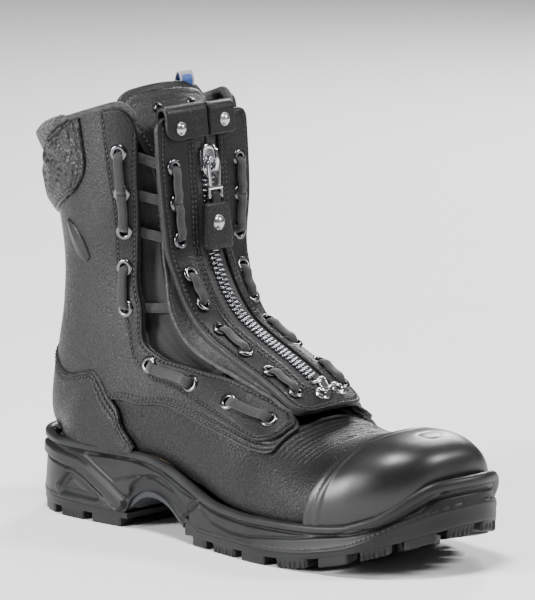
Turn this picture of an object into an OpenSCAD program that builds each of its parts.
// Right fire boot with a lace-in front zip, made of separate sewn, moulded and pressed pieces.
// Frame: +Z up, toe towards -Y, little-toe side towards -X. Millimetres.
// The origin is on the floor, under the middle of the boot's box.

/* [Sole] */
// Depth of the tread bars below the outsole's web
tread_depth = 5; // [3:0.5:7]
// Thickness of the outsole's web
web_t = 4; // [3:0.5:5]
// How far the toe end lifts off the floor
toe_spring = 22; // [14:1:26]
// Where the heel block ends and the arch starts
heel_breast_y = 64; // [60:1:68]
// Thickness of the arch stabiliser
stabiliser_t = 4; // [3:0.5:5]

/* [Layers] */
// Thickness of the upper's leather
leather_t = 1.8; // [1.4:0.1:2]
// Thickness of the membrane lining
lining_t = 2.4; // [1.6:0.2:3]
// Thickness of the collar pads
pad_t = 5; // [3:0.5:6]
// Thickness of the tongue with its foam
tongue_t = 6; // [4:0.5:7]
// Diameter of the rolled collar binding
binding_d = 7; // [5:0.5:8]

/* [Lacing] */
// Radius of an eyelet's barrel
barrel_r = 2.9; // [2.4:0.1:3]
// Radius of an eyelet's rim
rim_r = 5; // [4.4:0.1:5.4]
// Diameter of the lace
lace_d = 3.4; // [2.6:0.2:4]

/* [Zip] */
// Distance from one zip tooth to the next
tooth_pitch = 3; // [2.6:0.2:4]
// Half the gap between the two rows of teeth
tooth_gap = 0.6; // [0.5:0.1:0.8]
// Width of the slider
slider_w = 12; // [11:0.5:13]
// Radius of the puller's pin
pin_r = 1; // [0.8:0.1:1.2]
// Radial clearance of the running pins
pin_clear = 0.06; // [0.03:0.01:0.1]
// Width of the leather pull tab
tab_w = 22; // [18:1:24]

/* [Hidden] */

// ---- Curves and surfaces that every upper piece is cut from ----

// Value of the smooth curve through the rows of list a, at index s
function at(a, s) =
    let (n = len(a) - 1, c = min(max(s, 0), n - 0.0001), i = floor(c), t = c - i,
        p0 = a[max(i - 1, 0)], p1 = a[i], p2 = a[i + 1], p3 = a[min(i + 2, n)])
    0.5 * (2 * p1 + (p2 - p0) * t + (2 * p0 - 5 * p1 + 4 * p2 - p3) * t * t
        + (3 * p1 - p0 - 3 * p2 + p3) * t * t * t);
function mix(a, b, t) = a + (b - a) * t;
function unit(v) = v / max(norm(v), 0.000001);

// Sections through the upper, toe to collar: top y, z; lower end y, z; roundness; flatness of
// the front; half width outside, inside; half width at the lower end outside, inside
sections = [
    [-149, 50, -149, 46, 0.8, 0, 0, 0, 0, 0],
    [-146, 65, -144, 40, 0.8, 0.1, 25, 28, 24, 27],
    [-135, 72, -133, 35, 0.8, 0.1, 40, 39, 38, 38],
    [-119, 74, -116, 30, 0.8, 0.1, 49, 46, 47, 45],
    [-101, 71, -97, 27, 0.85, 0.1, 54, 50, 52, 49],
    [-82, 69, -75, 26, 0.9, 0.1, 56, 51, 55, 50],
    [-60, 74, -50, 26, 0.95, 0.2, 55, 47, 54, 46],
    [-37, 87, -22, 28, 1, 0.2, 50, 42, 49, 40],
    [-12, 100, 12, 36, 1, 0.25, 45, 38, 42, 35],
    [8, 109, 48, 44, 1, 0.3, 41, 36, 38, 33],
    [25, 122, 86, 42, 1, 0.35, 40, 37, 38, 36],
    [36, 138, 120, 41, 0.95, 0.4, 39.5, 38, 32, 32],
    [44, 155, 145, 46, 0.9, 0.45, 39.5, 38.5, 0, 0],
    [47, 172, 144, 78, 0.9, 0.45, 40, 39.5, 0, 0],
    [49, 188, 136, 110, 0.9, 0.45, 42, 42, 0, 0],
    [50, 203, 132, 142, 0.9, 0.45, 45, 45, 0, 0],
    [51, 217, 137, 176, 0.9, 0.45, 47, 47, 0, 0],
    [51, 247, 148, 216, 0.9, 0.45, 49, 48.5, 0, 0]];
collar_s = len(sections) - 1;

// Angle at which section v ends: about 100 degrees over the sole, 180 round the shaft
function end_angle(v, side) =
    let (w = side < 0 ? v[6] : v[7], g = side < 0 ? v[8] : v[9])
    w < 0.01 ? 105 : 180 - asin(min(1, pow(max(g, 0) / w, 1 / v[4])));
function last_angle(s, side) = end_angle(at(sections, s), side);

// Point of the upper at section s and angle a, negative on the little-toe side
function shape(s, a) =
    let (v = at(sections, s), side = a < 0 ? -1 : 1, w = side < 0 ? v[6] : v[7],
        c = cos(a), q = c > 0 ? c * (1 + v[5] * (1 - c * c)) : c,
        d = (1 - q) / (1 - cos(end_angle(v, side))))
    [side * w * pow(max(sin(abs(a)), 0), v[4]), mix(v[0], v[2], d), mix(v[1], v[3], d)];

// The same point, moved h outwards along the surface's normal
function skin(s, a, h) =
    let (ds = shape(min(s + 0.01, collar_s), a) - shape(max(s - 0.01, 0), a),
        da = shape(s, a + 0.4) - shape(s, a - 0.4))
    s <= 0 ? shape(0, a) - [0, h, 0] : shape(s, a) + h * unit(cross(da, ds));

// Closed sheet between outer(u, v) and inner(u, v), with only the cells that keep() names.
// zipped leaves out the rim at u = 0, where the two edges of the sheet meet.
module sheet(nu, nv, outer, inner, keep = function(i, j) true, zipped = false) {
    m = (nu + 1) * (nv + 1);
    id = function(i, j) i * (nv + 1) + j;
    has = function(i, j) i >= 0 && j >= 0 && i < nu && j < nv && keep(i, j);
    points = concat([for (i = [0:nu]) for (j = [0:nv]) outer(i / nu, j / nv)],
        [for (i = [0:nu]) for (j = [0:nv]) inner(i / nu, j / nv)]);
    skins = [for (i = [0:nu - 1]) for (j = [0:nv - 1]) if (has(i, j))
        let (a = id(i, j), b = id(i + 1, j), c = id(i + 1, j + 1), d = id(i, j + 1))
        each [[a, b, c], [a, c, d], [m + a, m + c, m + b], [m + a, m + d, m + c]]];
    rims = [for (i = [0:nu - 1]) for (j = [0:nv - 1]) if (has(i, j))
        let (a = id(i, j), b = id(i + 1, j), c = id(i + 1, j + 1), d = id(i, j + 1))
        each concat(has(i, j - 1) ? [] : [[a, m + a, m + b], [a, m + b, b]],
            has(i + 1, j) ? [] : [[b, m + b, m + c], [b, m + c, c]],
            has(i, j + 1) ? [] : [[c, m + c, m + d], [c, m + d, d]],
            has(i - 1, j) || (zipped && i == 0) ? [] : [[d, m + d, m + a], [d, m + a, a]])];
    polyhedron(points, concat(skins, rims), convexity = 6);
}

// Piece of the upper from h0 to h1, where spot(u, v) gives its section and angle
module upper(nu, nv, spot, h0, h1, keep = function(i, j) true, zipped = false) {
    on = function(u, v, h) let (p = spot(u, v)) skin(p[0], p[1], h);
    sheet(nu, nv, function(u, v) on(u, v, h1), function(u, v) on(u, v, h0), keep, zipped);
}

// Surface points beside the line (y, z), at distance x from it and height h above it
function over_line(line, crown, u, x, h) =
    let (c = at(line, u), t = unit(at(line, u + 0.05) - at(line, u - 0.05)),
        r = h - at(crown, u) * x * x)
    [x, c[0] - t[1] * r, c[1] + t[0] * r];

// Round tube of radius r along the points p
module tube(p, r, sides = 8) {
    n = len(p) - 1;
    along = [for (i = [0:n]) unit(p[min(i + 1, n)] - p[max(i - 1, 0)])];
    flat = function(v, t) unit(v - (v * t) * t);
    first = flat(abs(along[0][2]) > 0.8 ? [1, 0, 0] : [0, 0, 1], along[0]);
    across = [for (i = 0, v = first; i <= n; v = flat(v, along[min(i + 1, n)]), i = i + 1) v];
    rings = [for (i = [0:n]) for (k = [0:sides - 1]) let (g = 360 * k / sides)
        p[i] + r * (cos(g) * across[i] + sin(g) * cross(along[i], across[i]))];
    wall = [for (i = [0:n - 1]) for (k = [0:sides - 1])
        let (a = i * sides + k, b = i * sides + (k + 1) % sides)
        each [[a, a + sides, b], [b, a + sides, b + sides]]];
    ends = [for (k = [1:sides - 2]) each [[0, k, k + 1],
        [n * sides, n * sides + k + 1, n * sides + k]]];
    polyhedron(rings, concat(wall, ends), convexity = 8);
}

// Turns +Z to the direction v and moves the origin to p
module aim(p, v) {
    translate(p) rotate([0, acos(unit(v)[2]), atan2(v[1], v[0])]) children();
}

// ---- Sole ----

// Outline of the sole seen from above, heel first, round the little-toe side
sole_edge = [[0, 155], [-24, 148], [-40, 125], [-43, 95], [-42, 62], [-46, 22], [-54, -20],
    [-58.6, -55], [-56, -95], [-46, -128], [-21, -151], [12, -157.5], [39, -144], [53, -114],
    [58.6, -77], [52, -36], [40, 5], [37, 45], [40, 85], [40, 120], [27, 147]];
edge_n = len(sole_edge);
edge_steps = 3;
function round_edge(a) = [for (i = [0:edge_n - 1]) for (k = [0:edge_steps - 1])
    let (t = k / edge_steps, p0 = a[(i + edge_n - 1) % edge_n], p1 = a[i],
        p2 = a[(i + 1) % edge_n], p3 = a[(i + 2) % edge_n])
    0.5 * (2 * p1 + (p2 - p0) * t + (2 * p0 - 5 * p1 + 4 * p2 - p3) * t * t
        + (3 * p1 - p0 - 3 * p2 + p3) * t * t * t)];
outline = round_edge(sole_edge);

// Floor side of the outsole, top of the arch gap and top of the midsole, against y
function floor_z(y) = toe_spring * pow(max(0, (-y - 55) / 100), 2);
arch_line = [[heel_breast_y, 0], [heel_breast_y - 2, 12], [52, 19], [40, 20.5], [28, 17],
    [18, 10], [8, 4], [-2, 0]];
midsole_top = [[155, 44], [120, 39], [86, 40], [48, 42], [12, 34], [-22, 26], [-50, 24],
    [-75, 24], [-97, 25], [-116, 28], [-133, 33], [-144, 38], [-155, 44], [-160, 44]];
lift_drop = 1.4;
toe_ys = [for (k = [0:10]) mix(-5, -160, k / 10)];

module slab(points) {
    rotate([90, 0, 90]) linear_extrude(140, center = true) polygon(points);
}
module footprint(inset, z0, z1) {
    k = [1 - inset / 52, 1 - inset / 155];
    translate([0, 0, z0]) linear_extrude(z1 - z0)
        polygon([for (p = outline) [p[0] * k[0], p[1] * k[1]]]);
}
function raised(points, dz) = [for (p = points) [p[0], p[1] + dz]];
function backwards(a) = [for (i = [len(a) - 1:-1:0]) a[i]];
outsole_t = tread_depth + web_t;
groove_w = 4.5;

module heel_tread() color("#26282a") {
    difference() {
        intersection() {
            footprint(0, 0, outsole_t);
            slab([[156, 0], [heel_breast_y, 0], [heel_breast_y, outsole_t], [156, outsole_t]]);
        }
        for (y = [84, 106, 128]) translate([0, y, tread_depth / 2 - 0.5])
            cube([120, groove_w, tread_depth + 1], center = true);
        translate([0, 106, tread_depth / 2 - 0.5]) cube([18, 60, tread_depth + 1], center = true);
    }
}

module forefoot_tread() color("#26282a") {
    low = [for (y = toe_ys) [y, floor_z(y)]];
    difference() {
        intersection() {
            footprint(0, 0, 60);
            slab(concat([[18, 10], [8, 4], [-2, 0]], low, backwards(raised(low, outsole_t)),
                [[-2, outsole_t], [8, outsole_t + 4], [18, outsole_t + 10]]));
        }
        for (y = [-16, -38, -60, -82, -104, -126]) translate([0, y, floor_z(y)])
            rotate([-atan((floor_z(y - 1) - floor_z(y + 1)) / 2), 0, 0])
                cube([150, groove_w, 2 * tread_depth], center = true);
        translate([0, -72, 0]) cube([groove_w, 110, 2 * tread_depth], center = true);
    }
}

module stabiliser() color("#3a3d40") {
    span = [for (p = arch_line) if (p[1] >= 10) p];
    intersection() {
        footprint(0.6, 0, 60);
        slab(concat(span, backwards(raised(span, stabiliser_t))));
    }
}

module midsole() color("#2d2f31") {
    low = concat([[155.5, outsole_t], [heel_breast_y, outsole_t], [heel_breast_y, 12 + stabiliser_t]],
        [for (p = arch_line) if (p[1] > 12 || (p[1] == 10)) [p[0], p[1] + stabiliser_t]],
        [[18, 10 + outsole_t], [8, 4 + outsole_t], [-2, outsole_t]],
        [for (y = toe_ys) [y, floor_z(y) + outsole_t]]);
    intersection() {
        footprint(0.8, 0, 60);
        slab(concat(low, backwards(raised(midsole_top, -lift_drop))));
    }
}

// Layer inside the boot that lies lift above the midsole, t thick
module inside_layer(lift, t, inset) {
    span = [for (p = midsole_top) if (abs(p[0]) < 150) p];
    intersection() {
        footprint(inset, 10, 70);
        slab(concat(raised(span, lift - lift_drop), backwards(raised(span, lift + t - lift_drop))));
    }
}
module insole_board() color("#b9a98c") inside_layer(0.1, 2, 12.5);
module puncture_plate() color("#c9c39a") inside_layer(2.2, 1, 13);
module footbed() color("#4a4d52") inside_layer(3.3, 4.5, 16);

// ---- Shells of the upper; each layer has its own height over the surface ----

under_h = -leather_t - 0.6;
over_h = leather_t + 0.5;
stiff_h = -4.8;
lining_h = -5.4 - lining_t;

// Front edge of the quarters and their lower, rear edge, as angles against the section
quarter_front = [[6.1, 24], [6.7, 27], [7.6, 37], [9, 52], [10.6, 61], [11.6, 59], [13.3, 55.5],
    [15.2, 52], [17, 48]];
quarter_rear = [[6.1, 60], [6.7, 64], [8.1, 76], [9.5, 80], [10.6, 86], [11.6, 103],
    [12.5, 124], [13.2, 150], [13.7, 179], [17, 179]];
counter_edge = [[9.4, 100], [10, 91], [10.8, 91], [11.6, 107], [12.5, 128], [13.2, 153],
    [13.6, 179]];
eyestay_rear = [[6.1, 50], [6.7, 58], [8.1, 69], [9.5, 73], [10.5, 77], [11.4, 72], [17, 71]];
lining_front = [[4.4, 0], [6.2, 0], [6.7, 62], [8.1, 72], [9.5, 78], [17, 78]];
toe_seam = [[0, 3.6], [25, 3.8], [50, 4.1], [75, 4.35], [110, 4.55]];
throat_s = 6.15;

// Rubber rim that stands on the midsole in front of the toe
module toe_bumper() color("#303335") {
    difference() {
        intersection() {
            footprint(0.8, 30, 60);
            slab([[-144, 36.7], [-155, 42.7], [-160, 42.7], [-160, 54], [-150, 53], [-144, 46]]);
        }
        footprint(3, 29, 61);
    }
}

module safety_toe_cap() color("#8d9094") {
    upper(9, 16, function(u, v) let (side = v < 0.5 ? -1 : 1, s = mix(0, 3.4, u))
        [s, side * abs(2 * v - 1) * last_angle(s, side)], stiff_h, stiff_h + 1.6, zipped = true);
}

module toe_overcap() color("#2b2d2f") {
    upper(11, 18, function(u, v) let (side = v < 0.5 ? -1 : 1, w = abs(2 * v - 1),
        s = u * lookup(w * 104, toe_seam)) [s, side * w * last_angle(s, side)], 0, leather_t,
        zipped = true);
}

module vamp() color("#1d1e20") {
    side_cells = 4;
    mid_cells = 10;
    rows = 18;
    cells = 2 * side_cells + mid_cells;
    edge = function(s) s < throat_s ? 56 : lookup(s, quarter_rear) - 8;
    upper(rows, cells, function(u, v)
        let (s = mix(3.3, 10, u), j = abs(v * cells - cells / 2), side = v < 0.5 ? -1 : 1,
            e = last_angle(s, side), half_mid = mid_cells / 2)
        [s, side * (j <= half_mid ? edge(s) * j / half_mid
            : mix(edge(s), e, (j - half_mid) / side_cells))],
        under_h, under_h + leather_t,
        function(i, j) mix(3.3, 10, (i + 0.5) / rows) < throat_s || j < side_cells
            || j >= side_cells + mid_cells);
}

module heel_counter() color("#1f2022") {
    both_sides(function(side) function(u, v) let (s = mix(9.6, 13.5, u),
        e = min(last_angle(s, side), 179.2)) [s, side * mix(min(lookup(s, counter_edge), e - 1), e, v)],
        14, 8, under_h, under_h + leather_t);
}
module heel_stiffener() color("#77736a") {
    both_sides(function(side) function(u, v) let (s = mix(10.2, 13.3, u),
        e = min(last_angle(s, side), 179.2)) [s, side * mix(min(lookup(s, counter_edge) + 4, e - 1), e, v)],
        10, 7, stiff_h, stiff_h + 1.6);
}
module both_sides(spot, nu, nv, h0, h1) {
    for (side = [-1, 1]) upper(nu, nv, spot(side), side < 0 ? h1 : h0, side < 0 ? h0 : h1);
}

module lining(side) {
    one_side(side, 24, 9, function(u, v) let (s = mix(1, 16.9, u),
        e = min(last_angle(s, side), 179.2)) [s, side * mix(s < 6.2 ? 0.3 : lookup(s, lining_front), e, v)],
        lining_h, lining_h + lining_t);
}
module lining_lateral() color("#3c4046") lining(-1);
module lining_medial() color("#3c4046") lining(1);

// A sheet on one side of the boot; the other side's winding is turned by swapping its faces
module one_side(side, nu, nv, spot, h0, h1) {
    upper(nu, nv, spot, side < 0 ? h1 : h0, side < 0 ? h0 : h1);
}

// Section and angle of the eyelets in the quarters
quarter_eyelets = [[16.2, 62], [15.1, 63.5], [13.95, 64.5], [12.9, 65.5], [11.8, 67.5],
    [10.1, 65], [8.8, 61], [7.7, 53.5], [6.7, 42]];

module quarter_bores(side) {
    for (e = quarter_eyelets) {
        p = skin(e[0], side * e[1], 0);
        n = side * (skin(e[0], side * e[1], side) - p);
        aim(p - 6 * unit(n) * 1, n) cylinder(h = 14, r = barrel_r + 0.05, $fn = 24);
    }
}
function quarter_top(v) = collar_s - 0.55 * pow(max(0, 1 - v / 0.14), 2);
module quarter(side) {
    difference() {
        one_side(side, 24, 11, function(u, v) let (s = mix(6.1, quarter_top(v), u))
            [s, side * mix(lookup(s, quarter_front), lookup(s, quarter_rear), v)], 0, leather_t);
        quarter_bores(side);
    }
}
module quarter_lateral() color("#1b1c1e") quarter(-1);
module quarter_medial() color("#1b1c1e") quarter(1);

module eyestay(side) {
    difference() {
        one_side(side, 24, 3, function(u, v) let (s = mix(6.2, 16.5 + 0.35 * v, u))
            [s, side * mix(lookup(s, quarter_front) + 0.4, lookup(s, eyestay_rear), v)],
            over_h, over_h + leather_t);
        quarter_bores(side);
    }
}
module eyestay_lateral() color("#242628") eyestay(-1);
module eyestay_medial() color("#242628") eyestay(1);

module collar_pad(side) {
    one_side(side, 6, 9, function(u, v) let (a = mix(85, 178, v),
        low = 15.95 + 0.3 * pow(1 - v, 3)) [mix(low, 16.95, u), side * a], over_h, over_h + pad_t);
}
module collar_pad_lateral() color("#202123") collar_pad(-1);
module collar_pad_medial() color("#202123") collar_pad(1);

module collar_binding() color("#2a2c30") {
    r = binding_d / 2;
    tube([for (k = [0:40]) let (a = mix(-62, -298, k / 40), b = a < -180 ? a + 360 : a)
        skin(collar_s - 0.001, b, -1.5) + [0, 0, r + 0.6]], r);
}

// ---- Back of the shaft ----

module back_strap() color("#222325") {
    translate([-7, 0, 0]) rear_band(14, [[13.75, over_h], [14.5, over_h], [15.2, over_h], [15.8, over_h]], 1.6);
}
// Band of width w up the back, along rows of section and height, t thick
module rear_band(w, rows, t) {
    inner = [for (r = rows) let (p = skin(r[0], 179.9, r[1])) [p[1], p[2]]];
    outer = [for (r = rows) let (p = skin(r[0], 179.9, r[1] + t)) [p[1], p[2]]];
    rotate([90, 0, 90]) linear_extrude(w) polygon(concat(inner, backwards(outer)));
}

loop_w = 26;
loop_out = 7.4;
module pull_loop() color("#17181a") {
    y = [for (s = [15.9, 16.95]) skin(s, 179.9, over_h + pad_t + 0.4)];
    arc = [for (k = [0:12]) let (t = k / 12) [mix(y[0][1], y[1][1], t) + loop_out * sin(180 * t),
        mix(y[0][2], y[1][2], t) - 0]];
    thin = [for (k = [0:12]) let (t = 1 - k / 12)
        [mix(y[0][1], y[1][1], t) + (loop_out - 3) * max(0, sin(180 * t) - 0.02),
        mix(y[0][2], y[1][2], t) + 6 * (t < 0.5 ? 1 : -1) * abs(t - 0.5) * 1.2]];
    translate([-loop_w / 2, 0, 0]) rotate([90, 0, 90]) linear_extrude(loop_w)
        polygon(concat(arc, thin));
}

module reflective_strip() color("#d9dcdd") {
    translate([-8, 0, 0]) rear_band(16, [[14.25, over_h + 3.2], [14.7, over_h + 4], [15.1, over_h + 4],
        [15.55, over_h + 3.2]], 1.2);
}
module strip_clip() color("#2f3133") {
    for (s = [14.2, 15.6]) {
        p = skin(s, 179.9, over_h + 1.9);
        translate([-9, p[1] - 1.4, p[2] - 2.5]) cube([18, 3.6, 5]);
    }
}

module side_badge(side) {
    one_side(side, 8, 2, function(u, v) [mix(13.7, 15.5, u), side * (mix(88, 108, u)
        + 5 * (v - 0.5) * sin(180 * mix(0.08, 0.92, u)))], over_h - 0.2, over_h + 1.4);
}
module side_badge_lateral() color("#4a4d50") side_badge(-1);
module side_badge_medial() color("#4a4d50") side_badge(1);

// ---- Tongue ----

tongue_line = [[-46, 82], [-36, 87.5], [-24, 94], [-10, 100.5], [4, 107], [18, 116.5],
    [31, 130], [40, 146], [45, 165], [47.5, 188], [51, 209], [60, 231], [77, 250.5]];
tongue_crown = [0.02, 0.02, 0.02, 0.02, 0.02, 0.019, 0.016, 0.013, 0.01, 0.009, 0.009, 0.0085,
    0.0085];
tongue_half = [12, 16, 20, 22, 24, 25, 26, 26, 26, 27, 29, 34, 37];
function tongue_at(u, x, h) = over_line(tongue_line, tongue_crown, u, x, h);
module tongue_layer(h0, h1, u0, u1, inset) {
    half_w = function(u) at(tongue_half, u) - inset - 7 * pow(max(0, u - 11.3) / 0.7, 3);
    spot = function(u, v, h) let (k = mix(u0, u1, u)) tongue_at(k, half_w(k) * (2 * v - 1), h);
    sheet(24, 8, function(u, v) spot(u, v, h1), function(u, v) spot(u, v, h0));
}
module tongue() color("#2a2c2f") tongue_layer(-tongue_t - 0.4, -0.4, 0.3, 11.9, 1.5);
module tongue_cover() color("#202224") tongue_layer(0, 1.4, 8.6, 12, 0);

module gusset(side) {
    spot = function(u, v, h) let (s = mix(8.2, 16.2, u), k = mix(4.2, 11.4, u),
        a = tongue_at(k, side * (at(tongue_half, k) + 0.2), -3),
        b = skin(s, side * (lookup(s, quarter_front) + 8), -2 - leather_t))
        mix(a, b, v) + [side * 0.7 * h, 4 * sin(180 * v) - 0.6 * h, 0.7 * h];
    h = [side < 0 ? 0 : 1, side < 0 ? 1 : 0];
    sheet(16, 3, function(u, v) spot(u, v, h[0]), function(u, v) spot(u, v, h[1]));
}
module gusset_lateral() color("#33363b") gusset(-1);
module gusset_medial() color("#33363b") gusset(1);

module ring_eyelet(p, n, barrel) {
    aim(p, n) rotate_extrude($fn = 32) polygon([[barrel - 0.6, -2.6], [barrel, -2.6],
        [barrel, 0.2], [rim_r, 0.2], [rim_r, 0.7], [rim_r - 0.8, 1.3], [barrel - 0.2, 1.3],
        [barrel - 0.6, 0.8]]);
}
module tongue_eyelets() color("#8d9195") {
    for (x = [-14, 14]) {
        p = tongue_at(11.55, x, 1.4);
        ring_eyelet(p, tongue_at(11.55, x, 2.4) - p, 1.9);
    }
}
module label_loop() color("#6f86a3") {
    p = tongue_at(11.95, 21, -1);
    translate([p[0], p[1] - 1, p[2] - 3]) difference() {
        scale([1, 1, 1]) rotate([0, 0, 0]) union() {
            translate([-6, -2.4, 0]) cube([12, 4.8, 8.2]);
            translate([-6, 0, 8.2]) rotate([0, 90, 0]) cylinder(h = 12, r = 2.4, $fn = 24);
        }
        translate([-7, -1.5, -1]) cube([14, 3, 9.2]);
        translate([-7, 0, 8.2]) rotate([0, 90, 0]) cylinder(h = 14, r = 1.5, $fn = 24);
    }
}

// ---- Zip unit ----

// Middle line of the zip, bottom end to top; its last four points are in a straight line
zip_line = [[-62, 79.5], [-52, 86.5], [-40, 94.5], [-27, 101.5], [-13, 108], [0, 114.3],
    [14, 122.5], [25.5, 135], [33.5, 149], [38.6, 162], [40.4, 186], [42.3, 210], [44.3, 236]];
zip_crown = [0.006, 0.007, 0.008, 0.009, 0.01, 0.011, 0.011, 0.009, 0.006, 0.004, 0.0025,
    0.0022, 0.0022];
facing_half = [24, 26.5, 27, 27, 27, 27, 27.5, 28.5, 30, 32, 35, 36, 36];
wing_half = [20, 26, 29, 31, 32, 33, 34.5, 35, 33, 32, 31, 31, 31];
zip_top = len(zip_line) - 1;
slot_half = 9.5;
facing_bottom = 0.35;
function zip_at(u, x, h) = over_line(zip_line, zip_crown, u, x, h);

// Index along the zip and distance from its middle, of the eyelets in each facing
facing_eyelets = [[10.9, 26], [10.05, 25.5], [9.2, 23.5], [7.9, 21], [6.8, 19.5], [5.75, 19],
    [4.3, 19.5], [2.9, 20], [1.5, 18.5]];
function facing_point(e, side, h) = zip_at(e[0], side * e[1], h);
module facing_bores(side) {
    for (e = facing_eyelets) {
        p = facing_point(e, side, 0);
        n = facing_point(e, side, 1) - p;
        aim(p - 6 * unit(n), n) cylinder(h = 12, r = barrel_r + 0.05, $fn = 24);
    }
}

// Strip along the zip from x = near(u) to far(u), h0 to h1
module zip_strip(side, u0, u1, nu, near, far, h0, h1, nv = 2) {
    spot = function(u, v, h) let (k = mix(u0, u1, u)) zip_at(k, side * mix(near(k), far(k), v), h);
    h = side < 0 ? [h0, h1] : [h1, h0];
    sheet(nu, nv, function(u, v) spot(u, v, h[0]), function(u, v) spot(u, v, h[1]));
}
module zip_facing(side) {
    difference() {
        zip_strip(side, facing_bottom, zip_top, 24, function(u) u < 1.3 ? max(0.3, slot_half * (u - 0.9) / 0.4)
            : slot_half, function(u) at(facing_half, u) - 8 * pow(max(0, 1.2 - u), 2), 0, 2.2, 3);
        facing_bores(side);
    }
}
module zip_facing_lateral() color("#232527") zip_facing(-1);
module zip_facing_medial() color("#232527") zip_facing(1);

module zip_wing() color("#151617") {
    for (side = [-1, 1]) difference() {
        zip_strip(side, 0.5, 11.6, 24, function(u) u < 1.3 ? 0.01 : slot_half + 0.6,
            function(u) at(wing_half, u), -2.9, -1.1, 2);
        facing_bores(side);
    }
}

module zip_tape(side) {
    zip_strip(side, 1.4, zip_top - 0.2, 24, function(u) tooth_gap + 0.2, function(u) slot_half + 3.5,
        -0.8, -0.05, 1);
}
module zip_tape_lateral() color("#1a1a1b") zip_tape(-1);
module zip_tape_medial() color("#1a1a1b") zip_tape(1);

teeth_from = 2;
teeth_to = 11.3;
function run(u) = norm(at(zip_line, u + 0.05) - at(zip_line, u - 0.05)) * 10;
function tooth_marks(u) = u > teeth_to ? [] : concat([u], tooth_marks(u + tooth_pitch / run(u)));
module zip_teeth(side) {
    marks = tooth_marks(teeth_from + (side > 0 ? 0.5 * tooth_pitch / run(teeth_from) : 0));
    for (u = marks) {
        p = zip_at(u, 0, 0);
        t = zip_at(u + 0.02, 0, 0) - zip_at(u - 0.02, 0, 0);
        translate(p) rotate([atan2(t[2], t[1]) - 90, 0, 0])
            translate([side > 0 ? tooth_gap : -3.4, -1.75, -0.7]) cube([3.4 - tooth_gap, 1.7, 1.4]);
    }
}
module zip_teeth_lateral() color("#8b8d8f") zip_teeth(-1);
module zip_teeth_medial() color("#8b8d8f") zip_teeth(1);
module zip_end_stops() color("#a9abad") {
    for (e = [[1.75, 0], [11.55, -2.6], [11.55, 2.6]]) {
        p = zip_at(e[0], e[1], 0.95);
        t = zip_at(e[0] + 0.02, 0, 0) - zip_at(e[0] - 0.02, 0, 0);
        translate(p) rotate([atan2(t[2], t[1]) - 90, 0, 0])
            cube([e[1] == 0 ? 6.6 : 3.2, 1.8, 3], center = true);
    }
}

// ---- Eyelets and laces ----

module eyelets_in_quarter(side) {
    for (e = quarter_eyelets) {
        p = skin(e[0], side * e[1], over_h + leather_t);
        ring_eyelet(p, p - skin(e[0], side * e[1], 0), barrel_r);
    }
}
module quarter_eyelets_lateral() color("#8d9195") eyelets_in_quarter(-1);
module quarter_eyelets_medial() color("#8d9195") eyelets_in_quarter(1);
module eyelets_in_facing(side) {
    for (e = facing_eyelets) {
        p = facing_point(e, side, 2.2);
        ring_eyelet(p, facing_point(e, side, 3) - p, barrel_r);
    }
}
module facing_eyelets_lateral() color("#8d9195") eyelets_in_facing(-1);
module facing_eyelets_medial() color("#8d9195") eyelets_in_facing(1);

// The lace goes in and out of the eyelets in this order; out says on which face it arrives.
// Q is an eyelet of the quarter and F one of the facing.
lace_order = [["Q", 0, 1], ["Q", 1, 0], ["Q", 2, 1], ["F", 2, 0], ["F", 1, 1], ["F", 3, 0], ["F", 4, 1],
    ["Q", 4, 0], ["Q", 3, 1], ["Q", 5, 0], ["Q", 6, 1], ["F", 6, 0], ["F", 5, 1], ["F", 7, 0],
    ["F", 8, 1], ["Q", 8, 0], ["Q", 7, 1]];
function hole(e, side, h) = e[0] == "Q"
    ? skin(quarter_eyelets[e[1]][0], side * quarter_eyelets[e[1]][1], side < 0 ? h + over_h : h + over_h)
    : facing_point(facing_eyelets[e[1]], side, h);
function lace_points(side) = [for (e = lace_order) let (lift = 2.2 + 1.3 + lace_d / 2, drop = -5.2)
    each e[2] == 1 ? [hole(e, side, lift), hole(e, side, drop)] : [hole(e, side, drop), hole(e, side, lift)]];
// Rings along the lace: two between neighbouring points
function densified(p) = [for (i = [0:len(p) - 2]) each [p[i], mix(p[i], p[i + 1], 0.5)]];
module lace_lateral() color("#141415") tube(densified(lace_points(-1)), lace_d / 2);
module lace_medial() color("#141415") tube(densified(lace_points(1)), lace_d / 2);
module lace_crimps() color("#b9bbbd") {
    for (x = [-7, 9]) {
        p = zip_at(1.1, x, 4.2);
        translate(p) rotate([35, 0, 20]) cube([3.4, 6, 3], center = true);
    }
}

// ---- Lock tabs over the top of the zip ----

module round_plate(x0, x1, z0, z1, r, y0, y1) {
    translate([0, y1, 0]) rotate([90, 0, 0]) linear_extrude(y1 - y0) union() {
        translate([x0 + r, z0]) square([x1 - x0 - 2 * r, z1 - z0]);
        translate([x0, z0 + r]) square([x1 - x0, z1 - z0 - 2 * r]);
        for (x = [x0 + r, x1 - r]) for (z = [z0 + r, z1 - r]) translate([x, z]) circle(r, $fn = 24);
    }
}
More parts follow.
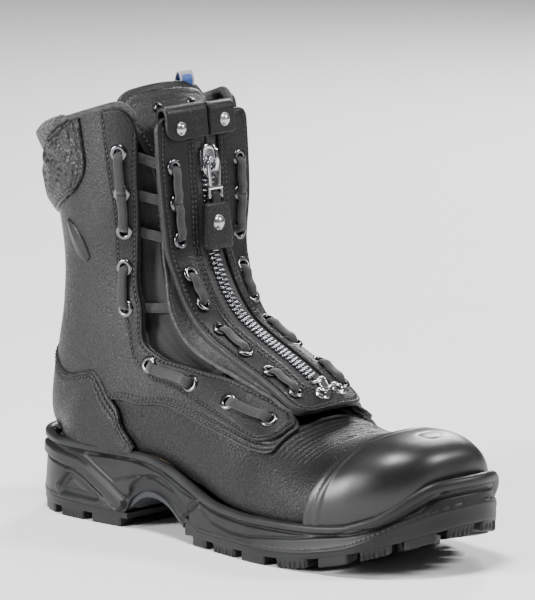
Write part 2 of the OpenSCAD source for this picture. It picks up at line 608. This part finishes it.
// Frame of the zip's straight stretch: origin at the slider, +Z up the zip, -Y outwards
slider_at = at(zip_line, 10.9);
zip_lean = atan2(zip_line[12][0] - zip_line[9][0], zip_line[12][1] - zip_line[9][1]);
module on_zip() { translate([0, slider_at[0], slider_at[1]]) rotate([-zip_lean, 0, 0]) children(); }
tab_z = [14.5, 30];
module lock_tab_lateral() color("#1c1d1f") on_zip() round_plate(-31, -0.6, tab_z[0], tab_z[1], 3, -4.6, -2.3);
module lock_tab_medial() color("#1c1d1f") on_zip() round_plate(0.6, 21, tab_z[0] + 1, tab_z[1] + 1, 3, -4.6, -2.3);
module dome(r, h) {
    rotate([90, 0, 0]) rotate_extrude($fn = 32) polygon([[0, 0], [r, 0], [r, 0.6], [r * 0.85, h * 0.62],
        [r * 0.5, h * 0.92], [0, h]]);
}
module lock_studs() color("#c8cacb") on_zip() {
    translate([-20.4, -4.6, 22]) dome(3.4, 2);
    translate([12.6, -4.6, 24]) dome(3.4, 2);
}

// ---- Slider, puller and pull tab ----

slider_z = [-9, 11];
hinge_z = 3;
hinge_h = 5.8;
bar_z = -18;
module slider_plate(h0, h1) {
    translate([0, -h0, 0]) rotate([90, 0, 0]) linear_extrude(h1 - h0) union() {
        translate([-slider_w / 2 + 1, slider_z[0]]) square([slider_w - 2, slider_z[1] - slider_z[0]]);
        translate([-slider_w / 2, slider_z[0] + 5]) square([slider_w, slider_z[1] - slider_z[0] - 8]);
    }
}
module zip_slider() color("#cfd1d3") on_zip() {
    difference() {
        union() {
            slider_plate(2.1, 3.6);
            slider_plate(-2.9, -1.5);
            for (x = [-slider_w / 2, slider_w / 2 - 1.6]) translate([x, -2.2, slider_z[0] + 5])
                cube([1.6, 1.9, slider_z[1] - slider_z[0] - 8]);
            translate([-0.25, -2.2, 5]) cube([0.5, 3.8, 5.5]);
            translate([-1.9, -hinge_h - 2.2, hinge_z - 3.4]) cube([3.8, hinge_h - 1.3, 6.8]);
        }
        translate([-3, -hinge_h, hinge_z]) rotate([0, 90, 0])
            cylinder(h = 6, r = pin_r + pin_clear, $fn = 32);
    }
}
module zip_puller() color("#d6d8da") on_zip() translate([0, -hinge_h, 0]) {
    translate([-3.6, 0, hinge_z]) rotate([0, 90, 0]) cylinder(h = 7.2, r = pin_r, $fn = 32);
    for (x = [-4.2, 2.4]) translate([x, -1.1, bar_z + 3]) cube([1.8, 2.2, hinge_z - bar_z - 1.5]);
    for (x = [-5.6, 3.9]) translate([x, -1.1, bar_z - 2.2]) cube([1.7, 2.2, 6.2]);
    translate([-5.6, -1.1, bar_z + 3]) cube([11.2, 2.2, 1.6]);
    translate([-4.2, 0, bar_z]) rotate([0, 90, 0]) cylinder(h = 8.4, r = pin_r, $fn = 32);
}
tab_len = 27;
module pull_tab() color("#1e1f21") on_zip() translate([0, -hinge_h, bar_z]) {
    difference() {
        union() {
            translate([-3.6, 0, 0]) rotate([0, 90, 0]) cylinder(h = 7.2, r = 2.3, $fn = 32);
            translate([-3.6, -2.1, -4.4]) cube([7.2, 4.2, 4.4]);
            round_plate(-tab_w / 2, tab_w / 2, -4 - tab_len, -4, 2.5, -2.6, 2.3);
        }
        translate([-5, 0, 0]) rotate([0, 90, 0]) cylinder(h = 10, r = pin_r + pin_clear, $fn = 32);
    }
}
module pull_tab_stud() color("#cfd1d2") on_zip()
    translate([-1, -hinge_h - 2.6, bar_z - 4 - 0.45 * tab_len]) dome(3.7, 2.2);

heel_tread();
forefoot_tread();
stabiliser();
midsole();
toe_bumper();
insole_board();
puncture_plate();
footbed();
safety_toe_cap();
heel_stiffener();
lining_lateral();
lining_medial();
vamp();
toe_overcap();
heel_counter();
quarter_lateral();
quarter_medial();
eyestay_lateral();
eyestay_medial();
collar_pad_lateral();
collar_pad_medial();
collar_binding();
back_strap();
pull_loop();
reflective_strip();
strip_clip();
side_badge_lateral();
side_badge_medial();
tongue();
tongue_cover();
gusset_lateral();
gusset_medial();
tongue_eyelets();
label_loop();
zip_wing();
zip_facing_lateral();
zip_facing_medial();
zip_tape_lateral();
zip_tape_medial();
zip_teeth_lateral();
zip_teeth_medial();
zip_end_stops();
quarter_eyelets_lateral();
quarter_eyelets_medial();
facing_eyelets_lateral();
facing_eyelets_medial();
lace_lateral();
lace_medial();
lace_crimps();
lock_tab_lateral();
lock_tab_medial();
lock_studs();
zip_slider();
zip_puller();
pull_tab();
pull_tab_stud();
